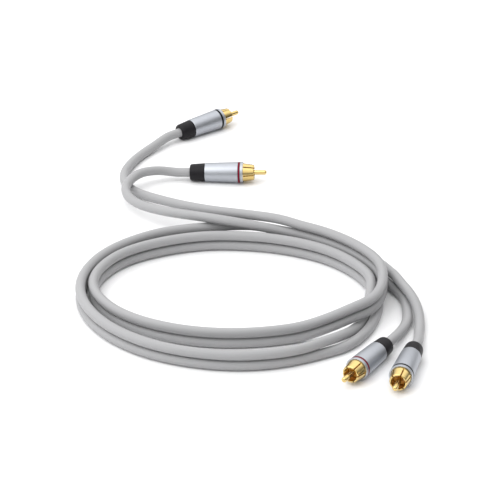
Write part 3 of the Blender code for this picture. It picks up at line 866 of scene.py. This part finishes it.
# %% Helpers for node groups
def new_group(name, inputs, output):
    """A group with sockets: a place, and inputs that each have a title, a kind and a first value."""
    group = bpy.data.node_groups.new(name, "ShaderNodeTree")
    group.interface.new_socket("Place", in_out="INPUT", socket_type="NodeSocketVector")
    for title, kind, value in inputs:
        socket = group.interface.new_socket(title, in_out="INPUT", socket_type=f"NodeSocket{kind}")
        socket.default_value = value
    title, kind = output
    group.interface.new_socket(title, in_out="OUTPUT", socket_type=f"NodeSocket{kind}")
    return group, group.nodes.new("NodeGroupInput"), group.nodes.new("NodeGroupOutput")


def maths(tree, operation, *values, clamp=False):
    """A Math node, fed with sockets or with numbers. It gives back its output socket."""
    node = tree.nodes.new("ShaderNodeMath")
    node.operation = operation
    node.use_clamp = clamp
    feed(tree, node.inputs, values)
    return node.outputs[0]


def feed(tree, sockets, values):
    """Give each socket its value, as a link if it is a socket and as a number if not."""
    for socket, value in zip(sockets, values):
        if isinstance(value, bpy.types.NodeSocket):
            tree.links.new(value, socket)
        else:
            socket.default_value = value


def stretched(tree, place, stretch):
    """A place with its distance along the piece scaled, which draws a pattern out lengthwise."""
    apart = tree.nodes.new("ShaderNodeSeparateXYZ")
    tree.links.new(place, apart.inputs[0])
    joined = tree.nodes.new("ShaderNodeCombineXYZ")
    feed(tree, joined.inputs, (maths(tree, "MULTIPLY", apart.outputs[0], stretch), *apart.outputs[1:]))
    return joined.outputs[0]


def scaled_tone(tree, tone, share):
    """A colour times a number."""
    node = tree.nodes.new("ShaderNodeVectorMath")
    node.operation = "SCALE"
    feed(tree, (node.inputs[0], node.inputs["Scale"]), (tone, share))
    return node.outputs[0]


def noise(tree, place, scale, detail):
    """A Noise Texture's value, from 0 to 1 and mostly near 0.5."""
    node = tree.nodes.new("ShaderNodeTexNoise")
    feed(tree, (node.inputs["Vector"], node.inputs["Scale"]), (place, scale))
    node.inputs["Detail"].default_value = detail
    return node.outputs["Fac"]


print("group helpers ready")

# %% Build the groups
def noise_group(name, scale, detail, own_inputs, output):
    """A group with a noise over the place on the piece, drawn out lengthwise by a stretch under one."""
    inputs = [("Scale", "Float", scale), ("Stretch", "Float", 1.0), *own_inputs]
    group, given, result = new_group(name, inputs, output)
    place = stretched(group, given.outputs["Place"], given.outputs["Stretch"])
    return group, given, result, noise(group, place, given.outputs["Scale"], detail)


def make_tone_drift():
    """A colour times one plus an amount times a slow noise about zero."""
    own = [("Color", "Color", (0.5, 0.5, 0.5, 1.0)), ("Amount", "Float", 0.1)]
    group, given, result, value = noise_group("tone_drift", 60.0, 3.0, own, ("Color", "Color"))
    drift = maths(group, "SUBTRACT", value, 0.5)
    share = maths(group, "MULTIPLY_ADD", drift, given.outputs["Amount"], 1.0)
    group.links.new(scaled_tone(group, given.outputs["Color"], share), result.inputs["Color"])
    return group


def make_roughness_drift():
    """A roughness plus an amount times a slow noise about zero."""
    own = [("Roughness", "Float", 0.4), ("Amount", "Float", 0.1)]
    kind = ("Roughness", "Float")
    group, given, result, value = noise_group("roughness_drift", 200.0, 2.0, own, kind)
    drift = maths(group, "SUBTRACT", value, 0.5)
    rough = maths(group, "MULTIPLY_ADD", drift, given.outputs["Amount"], given.outputs["Roughness"])
    group.links.new(rough, result.inputs["Roughness"])
    return group


def make_fine_grain():
    """The height of a fine grain."""
    group, _, result, value = noise_group("fine_grain", 3000.0, 2.0, [], ("Height", "Float"))
    group.links.new(value, result.inputs["Height"])
    return group


def make_lathe_marks():
    """The height of a lathe's fine rings: a noise that changes only along the axis."""
    inputs = [("Scale", "Float", 9000.0)]
    group, given, result = new_group("lathe_marks", inputs, ("Height", "Float"))
    apart = group.nodes.new("ShaderNodeSeparateXYZ")
    group.links.new(given.outputs["Place"], apart.inputs[0])
    rings = group.nodes.new("ShaderNodeTexNoise")
    rings.noise_dimensions = "1D"
    group.links.new(apart.outputs[0], rings.inputs["W"])
    group.links.new(given.outputs["Scale"], rings.inputs["Scale"])
    group.links.new(rings.outputs["Fac"], result.inputs["Height"])
    return group


def make_edge_mask():
    """A mask that is 1 at either of two stations and falls evenly to 0 over a width."""
    inputs = [("First", "Float", 0.0), ("Second", "Float", 0.03), ("Width", "Float", 0.0004)]
    group, given, result = new_group("edge_mask", inputs, ("Mask", "Float"))
    apart = group.nodes.new("ShaderNodeSeparateXYZ")
    group.links.new(given.outputs["Place"], apart.inputs[0])
    nearness = []
    for title in ("First", "Second"):
        away = maths(group, "SUBTRACT", apart.outputs[0], given.outputs[title])
        share = maths(group, "DIVIDE", maths(group, "ABSOLUTE", away), given.outputs["Width"])
        nearness.append(maths(group, "SUBTRACT", 1.0, share, clamp=True))
    group.links.new(maths(group, "MAXIMUM", *nearness), result.inputs["Mask"])
    return group


tone_drift = make_tone_drift()
roughness_drift = make_roughness_drift()
fine_grain = make_fine_grain()
lathe_marks = make_lathe_marks()
edge_mask = make_edge_mask()
print("groups:", [group.name for group in bpy.data.node_groups])

# %% [markdown]
# ## Helpers for materials
#
# Each material starts from the Principled shader. Numbers that are the same all over the piece are
# set on the shader itself, and only what changes over the surface comes through nodes. Every finish
# here drifts in its tone and its roughness, so one helper makes that much, and a finish that needs more
# puts its own nodes between.

# %% Helpers for materials
def place_on_piece(tree):
    """The socket that says where a point lies on its own piece."""
    node = tree.nodes.new("ShaderNodeAttribute")
    node.attribute_name = PLACE
    return node.outputs["Vector"]


def place_in_object(tree):
    """The socket of Object coordinates, for the solids that carry no stored place."""
    return tree.nodes.new("ShaderNodeTexCoord").outputs["Object"]


def put(tree, group, place, **values):
    """Place a group in a material with its own values. It gives back the group's output socket."""
    node = tree.nodes.new("ShaderNodeGroup")
    node.node_tree = group
    tree.links.new(place, node.inputs["Place"])
    for title, value in values.items():
        feed(tree, [node.inputs[title]], [value])
    return node.outputs[0]


def add_bump(tree, shader, height, depth):
    """Tilt the shader's normal by a height, which is up to the given depth in metres."""
    bump = tree.nodes.new("ShaderNodeBump")
    bump.inputs["Distance"].default_value = depth
    bump.inputs["Strength"].default_value = 1.0
    tree.links.new(height, bump.inputs["Height"])
    tree.links.new(bump.outputs[0], shader.inputs["Normal"])


def toned_material(name, color, roughness, tone, rough, place_of=place_on_piece, **constants):
    """A material whose tone and roughness drift.

    Each drift is given by its scale and its amount, and the shader's constants by their names.
    """
    made = bpy.data.materials.new(name)
    made.use_nodes = True
    tree = made.node_tree
    shader = tree.nodes["Principled BSDF"]
    for title, value in constants.items():
        shader.inputs[title.replace("_", " ")].default_value = value
    place = place_of(tree)
    color = put(tree, tone_drift, place, Color=color, Scale=tone[0], Amount=tone[1])
    tree.links.new(color, shader.inputs["Base Color"])
    rough = put(tree, roughness_drift, place, Roughness=roughness, Scale=rough[0], Amount=rough[1])
    tree.links.new(rough, shader.inputs["Roughness"])
    return made, tree, shader, place, color, rough


def give(pieces, material):
    """Make a material the only one on each piece."""
    for piece in pieces:
        piece.data.materials.clear()
        piece.data.materials.append(material)


print("material helpers ready")

# %% [markdown]
# ## The grey jacket
#
# The jacket is a neutral grey plastic with a dull surface. It is pushed through a round die, so it
# has faint streaks along it that follow every bend, and over them a very fine grain. The grey drifts
# by a few hundredths from one stretch to the next.

# %% Finish the leads
JACKET_GREY = (0.348, 0.348, 0.354, 1.0)
JACKET_ROUGHNESS = 0.46
JACKET_SHINE = 0.25
STREAK_STRETCH = 0.02
STREAK_SCALE = 2600.0
GRAIN_SCALE = 5200.0
JACKET_TONE_DRIFT = (9.0, 0.14)
JACKET_ROUGH_DRIFT = (60.0, 0.2)
STREAK_AMOUNT = 0.08
GRAIN_SHARE = 0.5
GRAIN_DEPTH = 0.00002


def make_jacket_material():
    """Grey plastic with lengthwise streaks in its tone and its height."""
    made, tree, shader, place, tone, _ = toned_material(
        "grey_jacket", JACKET_GREY, JACKET_ROUGHNESS, JACKET_TONE_DRIFT, JACKET_ROUGH_DRIFT,
        Specular_IOR_Level=JACKET_SHINE,
    )
    streaks = {"Scale": STREAK_SCALE, "Stretch": STREAK_STRETCH}
    streaked = put(tree, tone_drift, place, Color=tone, Amount=STREAK_AMOUNT, **streaks)
    tree.links.new(streaked, shader.inputs["Base Color"])
    ridges = put(tree, fine_grain, place, **streaks)
    grain = put(tree, fine_grain, place, Scale=GRAIN_SCALE)
    add_bump(tree, shader, maths(tree, "MULTIPLY_ADD", grain, GRAIN_SHARE, ridges), GRAIN_DEPTH)
    return made


give(leads.values(), make_jacket_material())
print("leads finished:", [lead.name for lead in leads.values()])

# %% [markdown]
# ## The black boots
#
# A boot is moulded in a soft black plastic. The mould was spark eroded, which leaves a fine even grain
# that dulls the shine. Where a boot is held, at its rear edge, the grain is rubbed a little smoother.

# %% Finish the boots
BOOT_BLACK = (0.011, 0.010, 0.012, 1.0)
BOOT_ROUGHNESS = 0.48
BOOT_SHINE = 0.18
BOOT_TONE_DRIFT = (700.0, 0.5)
BOOT_ROUGH_DRIFT = (500.0, 0.12)
RUB_WIDTH = 0.0016
RUBBED_LESS = -0.1
BOOT_GRAIN_SCALE = 4200.0
BOOT_GRAIN_DEPTH = 0.00003


def make_boot_material():
    """Black plastic with a fine moulded grain, smoother near its rear edge."""
    made, tree, shader, place, _, rough = toned_material(
        "black_boot", BOOT_BLACK, BOOT_ROUGHNESS, BOOT_TONE_DRIFT, BOOT_ROUGH_DRIFT,
        Specular_IOR_Level=BOOT_SHINE,
    )
    edge = put(tree, edge_mask, place, First=0.0, Second=BOOT_LENGTH, Width=RUB_WIDTH)
    tree.links.new(maths(tree, "MULTIPLY_ADD", edge, RUBBED_LESS, rough), shader.inputs["Roughness"])
    grain = put(tree, fine_grain, place, Scale=BOOT_GRAIN_SCALE)
    add_bump(tree, shader, grain, BOOT_GRAIN_DEPTH)
    return made


give(boots.values(), make_boot_material())
print("boots finished:", len(boots))

# %% [markdown]
# ## The satin barrels
#
# A barrel is turned, blasted with fine beads and plated, which gives a soft silver with a cool cast.
# The two ends are faced again after blasting, so the thin edges stay bright. Under the blasted grain
# the lathe's rings still show faintly. Along both edges of the groove the tone is darkened as painted
# shade, for the shade that falls into the groove; this is the edge mask once more, this time to dim the
# tone.

# %% Finish the barrels
BARREL_SILVER = (0.435, 0.452, 0.485, 1.0)
BARREL_ROUGHNESS = 0.45
BARREL_TONE_DRIFT = (300.0, 0.08)
BARREL_ROUGH_DRIFT = (450.0, 0.08)
POLISH_WIDTH = 0.0005
POLISHED_LESS = -0.2
BLAST_SCALE = 6500.0
LATHE_SCALE = 5200.0
LATHE_SHARE = 0.4
# Painted shade at the groove: how far it reaches from each wall and how much it dims the tone.
GROOVE_PAINTED_SHADE_WIDTH = 0.0003
GROOVE_PAINTED_SHADE_DIMS = -0.85
BLAST_DEPTH = 0.000012


def make_barrel_material():
    """Blasted metal, with polished ends, faint rings and painted shade along the groove."""
    made, tree, shader, place, tone, rough = toned_material(
        "satin_barrel", BARREL_SILVER, BARREL_ROUGHNESS, BARREL_TONE_DRIFT, BARREL_ROUGH_DRIFT,
        Metallic=1.0,
    )
    # Painted shade: the tone is darkened next to both walls of the band's groove, where shade falls.
    groove_edges = {"First": GROOVE_REAR, "Second": GROOVE_FRONT}
    groove = put(tree, edge_mask, place, Width=GROOVE_PAINTED_SHADE_WIDTH, **groove_edges)
    groove_painted_shade_tone = scaled_tone(tree, tone, maths(tree, "MULTIPLY_ADD", groove, GROOVE_PAINTED_SHADE_DIMS, 1.0))
    tree.links.new(groove_painted_shade_tone, shader.inputs["Base Color"])
    edge = put(tree, edge_mask, place, First=BARREL_START, Second=BARREL_END, Width=POLISH_WIDTH)
    rough = maths(tree, "MULTIPLY_ADD", edge, POLISHED_LESS, rough)
    tree.links.new(rough, shader.inputs["Roughness"])
    blast = put(tree, fine_grain, place, Scale=BLAST_SCALE)
    rings = put(tree, lathe_marks, place, Scale=LATHE_SCALE)
    add_bump(tree, shader, maths(tree, "MULTIPLY_ADD", rings, LATHE_SHARE, blast), BLAST_DEPTH)
    return made


give(barrels.values(), make_barrel_material())
print("barrels finished:", len(barrels))

# %% [markdown]
# ## The enamelled bands
#
# Each band is sprayed metal under a thin coat, dark red for one channel and black for the other. The
# colour lies a little thicker in some places, which the drift shows.

# %% Finish the bands
BAND_COLOURS = {"red": (0.20, 0.010, 0.025, 1.0), "black": (0.003, 0.003, 0.004, 1.0)}
BAND_ROUGHNESS = 0.34
BAND_TONE_DRIFT = (900.0, 0.3)
BAND_ROUGH_DRIFT = (900.0, 0.12)
SPRAY_SCALE = 2500.0
SPRAY_DEPTH = 0.000015
BAND_SHINE = 0.06


def make_band_material(colour):
    """Enamel of one colour, with a slight unevenness from the spray."""
    made, tree, shader, place, _, _ = toned_material(
        f"{colour}_band", BAND_COLOURS[colour], BAND_ROUGHNESS, BAND_TONE_DRIFT, BAND_ROUGH_DRIFT,
        Specular_IOR_Level=BAND_SHINE,
    )
    add_bump(tree, shader, put(tree, fine_grain, place, Scale=SPRAY_SCALE), SPRAY_DEPTH)
    return made


for colour in BAND_COLOURS:
    own = [band for name, band in bands.items() if name.startswith(colour)]
    give(own, make_band_material(colour))
print("bands finished:", len(bands))

# %% [markdown]
# ## The gilt contacts
#
# Shell and pin are turned brass with a bright gold plate. The plate is thin, so the fine rings of the
# lathe still show in the reflections, and rubbing against sockets has left it a little uneven.

# %% Finish the shells and pins
GOLD = (0.70, 0.52, 0.21, 1.0)
GOLD_ROUGHNESS = 0.19
GOLD_TONE_DRIFT = (350.0, 0.12)
GOLD_ROUGH_DRIFT = (600.0, 0.1)
GOLD_RING_SCALE = 7000.0
GOLD_RING_DEPTH = 0.000006


def make_gilt_material():
    """Gold plate over turned brass."""
    made, tree, shader, place, _, _ = toned_material(
        "gilt_contact", GOLD, GOLD_ROUGHNESS, GOLD_TONE_DRIFT, GOLD_ROUGH_DRIFT, Metallic=1.0
    )
    rings = put(tree, lathe_marks, place, Scale=GOLD_RING_SCALE)
    add_bump(tree, shader, rings, GOLD_RING_DEPTH)
    return made


gilt = make_gilt_material()
give(shells.values(), gilt)
give(pins.values(), gilt)
print("gilt pieces finished:", len(shells) + len(pins))

# %% [markdown]
# ## The insulators and what lies inside
#
# The bush is moulded plastic, coloured amber brown as a painted reflection: the colour stands in for
# the warm gold light at the bottom of the collet.
# Behind it, inside the barrel, are the ground tab, the end of the white core and the bare conductor.
# They stay as the solids they are, and carry no stored place, so their finishes read Object
# coordinates.

# %% Finish the inner pieces
# Painted reflection: amber brown for the gold light thrown about inside the collet.
BUSH_AMBER_PAINTED_REFLECTION = (0.60, 0.28, 0.04, 1.0)
BUSH_ROUGHNESS = 0.3
PLAIN_TONE_DRIFT = (600.0, 0.25)
PLAIN_ROUGH_DRIFT = (500.0, 0.12)
PLAIN_GRAIN_SCALE = 4000.0
PLAIN_GRAIN_DEPTH = 0.00002
INNER_FINISHES = {
    "ground_tab": {"color": (0.70, 0.52, 0.24, 1.0), "metallic": 1.0, "roughness": 0.35},
    "core": {"color": (0.78, 0.77, 0.73, 1.0), "metallic": 0.0, "roughness": 0.5},
    "conductor": {"color": (0.72, 0.36, 0.20, 1.0), "metallic": 1.0, "roughness": 0.3},
}


def make_plain_material(name, color, metallic, roughness, place_of):
    """A drifting tone and roughness under a fine grain, for moulded and stamped pieces."""
    made, tree, shader, place, _, _ = toned_material(
        name, color, roughness, PLAIN_TONE_DRIFT, PLAIN_ROUGH_DRIFT, place_of, Metallic=metallic
    )
    add_bump(tree, shader, put(tree, fine_grain, place, Scale=PLAIN_GRAIN_SCALE), PLAIN_GRAIN_DEPTH)
    return made


# The bush's amber brown is a painted reflection of the gilt walls around it.
painted_reflection_bush_material = make_plain_material("bush_painted_gold_reflection", BUSH_AMBER_PAINTED_REFLECTION, 0.0, BUSH_ROUGHNESS, place_on_piece)
give(insulators.values(), painted_reflection_bush_material)
for kind, finish in INNER_FINISHES.items():
    material = make_plain_material(f"inner_{kind}", place_of=place_in_object, **finish)
    give([frame["nodes"][f"{kind}_{name}"] for name in plugs], material)
print("inner pieces finished:", list(INNER_FINISHES))

# %% [markdown]
# ## The studio
#
# The cable lies on a plain white table under soft light. Metal shows what is around it, so the room
# matters as much as the lamps: a bright ceiling gives the broad light tones, and the room gets darker
# towards the floor and to the right, which draws the dark lines along the barrels and the brown in
# the gold. One lamp hangs above, and a wide one at the left lights the coil's outer side. The camera
# itself sees only a pale backdrop.

# %% Lay the table
TABLE_HALF = 3.0
TABLE_WHITE = (0.86, 0.86, 0.865, 1.0)
TABLE_ROUGHNESS = 0.7
TABLE_SHINE = 0.2
TABLE_TONE_DRIFT = (3.0, 0.02)
TABLE_ROUGH_DRIFT = (30.0, 0.1)


def make_table_material():
    """White laminate with hardly any tone."""
    return toned_material(
        "white_table", TABLE_WHITE, TABLE_ROUGHNESS, TABLE_TONE_DRIFT, TABLE_ROUGH_DRIFT,
        place_in_object, Specular_IOR_Level=TABLE_SHINE,
    )[0]


table_mesh = bpy.data.meshes.new("table")
table_corners = [(x * TABLE_HALF, y * TABLE_HALF, 0.0) for x, y in ((-1, -1), (1, -1), (1, 1), (-1, 1))]
table_mesh.from_pydata(table_corners, [], [(0, 1, 2, 3)])
table = bpy.data.objects.new("table", table_mesh)
bpy.context.scene.collection.objects.link(table)
give([table], make_table_material())
print("table:", 2 * TABLE_HALF, "m wide")

# %% Shape the room's light
ROOM_TONES = [
    (0.00, 0.20),
    (0.10, 0.25),
    (0.24, 0.70),
    (0.42, 1.30),
    (0.70, 1.65),
    (1.00, 1.65),
]
DARK_SIDE = (0.86, -0.48, 0.15)
DARK_SIDE_SPREAD = (0.45, 0.95)
DARK_SIDE_LOSS = 0.8


def tone_by_height(tree, direction):
    """A grey that is a ramp over the height of the direction looked in."""
    apart = tree.nodes.new("ShaderNodeSeparateXYZ")
    tree.links.new(direction, apart.inputs[0])
    ramp = tree.nodes.new("ShaderNodeValToRGB")
    ramp.color_ramp.interpolation = "EASE"
    tree.links.new(apart.outputs["Z"], ramp.inputs[0])
    stops = ramp.color_ramp.elements
    for height, tone in ROOM_TONES[1:-1]:
        stops.new(height)
    for stop, (height, tone) in zip(stops, ROOM_TONES):
        stop.position = height
        stop.color = (tone, tone, tone, 1.0)
    return ramp.outputs[0]


def light_kept(tree, direction):
    """The share of the light that stays: less as the direction nears the dark side's middle."""
    facing = tree.nodes.new("ShaderNodeVectorMath")
    facing.operation = "DOT_PRODUCT"
    facing.inputs[1].default_value = DARK_SIDE
    tree.links.new(direction, facing.inputs[0])
    fade = tree.nodes.new("ShaderNodeMapRange")
    fade.interpolation_type = "SMOOTHSTEP"
    feed(tree, fade.inputs, (facing.outputs["Value"], *DARK_SIDE_SPREAD, 1.0, 1.0 - DARK_SIDE_LOSS))
    return fade.outputs[0]


print("ceiling over horizon:", round(ROOM_TONES[-1][1] / ROOM_TONES[0][1], 1))

# %% Light the room and hang the lamps
BACKDROP = 1.0
LAMP_PLACE = (-0.45, -0.35, 1.25)
LAMP_SIZE = 0.9
LAMP_WATTS = 4.0
SIDE_LAMP_PLACE = (-1.25, -0.15, 0.55)
SIDE_LAMP_SIZE = 1.3
SIDE_LAMP_WATTS = 5.0


def light_room():
    """A world that is bright above, darker low down, and darkest at the right."""
    world = bpy.data.worlds.new("studio_room")
    bpy.context.scene.world = world
    world.use_nodes = True
    tree = world.node_tree
    tree.nodes.clear()
    direction = tree.nodes.new("ShaderNodeTexCoord").outputs["Generated"]
    room = tree.nodes.new("ShaderNodeBackground")
    tree.links.new(tone_by_height(tree, direction), room.inputs["Color"])
    tree.links.new(light_kept(tree, direction), room.inputs["Strength"])
    backdrop = tree.nodes.new("ShaderNodeBackground")
    backdrop.inputs["Color"].default_value = (BACKDROP, BACKDROP, BACKDROP, 1.0)
    chosen = tree.nodes.new("ShaderNodeMixShader")
    tree.links.new(tree.nodes.new("ShaderNodeLightPath").outputs["Is Camera Ray"], chosen.inputs[0])
    tree.links.new(room.outputs[0], chosen.inputs[1])
    tree.links.new(backdrop.outputs[0], chosen.inputs[2])
    tree.links.new(chosen.outputs[0], tree.nodes.new("ShaderNodeOutputWorld").inputs["Surface"])


def hang_lamp(name, place, size, watts):
    """A square soft lamp that faces the middle of the cable."""
    data = bpy.data.lights.new(name, "AREA")
    data.size = size
    data.energy = watts
    lamp = bpy.data.objects.new(name, data)
    lamp.location = place
    facing = -lamp.location
    lamp.rotation_euler = facing.to_track_quat("-Z", "Y").to_euler()
    bpy.context.scene.collection.objects.link(lamp)


light_room()
hang_lamp("soft_lamp", LAMP_PLACE, LAMP_SIZE, LAMP_WATTS)
hang_lamp("side_lamp", SIDE_LAMP_PLACE, SIDE_LAMP_SIZE, SIDE_LAMP_WATTS)
bpy.context.scene.view_settings.view_transform = "Standard"
print("lamps:", LAMP_WATTS, "W above,", SIDE_LAMP_WATTS, "W at the left")
